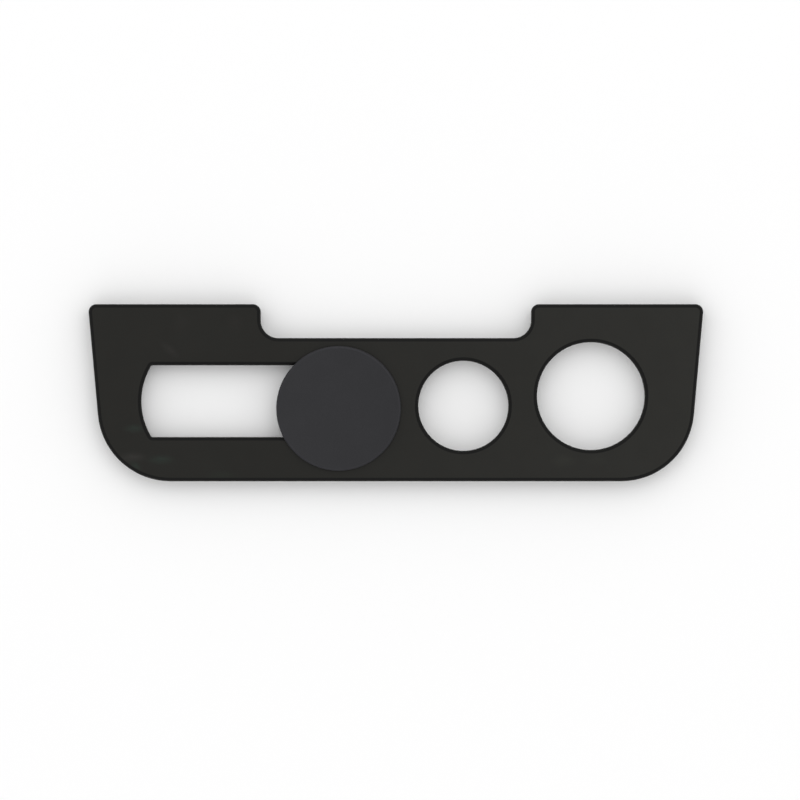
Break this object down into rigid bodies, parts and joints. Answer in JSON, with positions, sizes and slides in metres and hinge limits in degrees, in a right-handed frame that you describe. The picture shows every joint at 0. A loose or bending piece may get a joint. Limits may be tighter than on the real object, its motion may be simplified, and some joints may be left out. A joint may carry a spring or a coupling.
{
  "type": "camera privacy sticker",
  "caption": "Thin black stick-on plate with a sliding round cover in a slot, two round windows and a notch in its top edge.",
  "frame": {"origin": "middle of the plate's outline on the underside of the adhesive film", "axes": "+X along the plate towards the large window, +Y towards the notched edge, +Z out of the front"},
  "size_m": [0.04, 0.0116, 0.0014],
  "materials": {
    "plate_plastic": "fine matte moulded",
    "cover_plastic": "fine matte moulded",
    "retainer_plastic": "plain moulded",
    "adhesive": "tacky satin film"
  },
  "bodies": {
    "frame": {"frame_plate": "plate_plastic", "adhesive_film": "adhesive"},
    "slider": {"slider_cap": "cover_plastic", "slider_retainer": "retainer_plastic"}
  },
  "joints": [
    {"name": "cover_slide", "type": "slide", "parent": "frame", "child": "slider", "axis": [-1, 0, 0], "range_m": [0, 0.00969]}
  ]
}
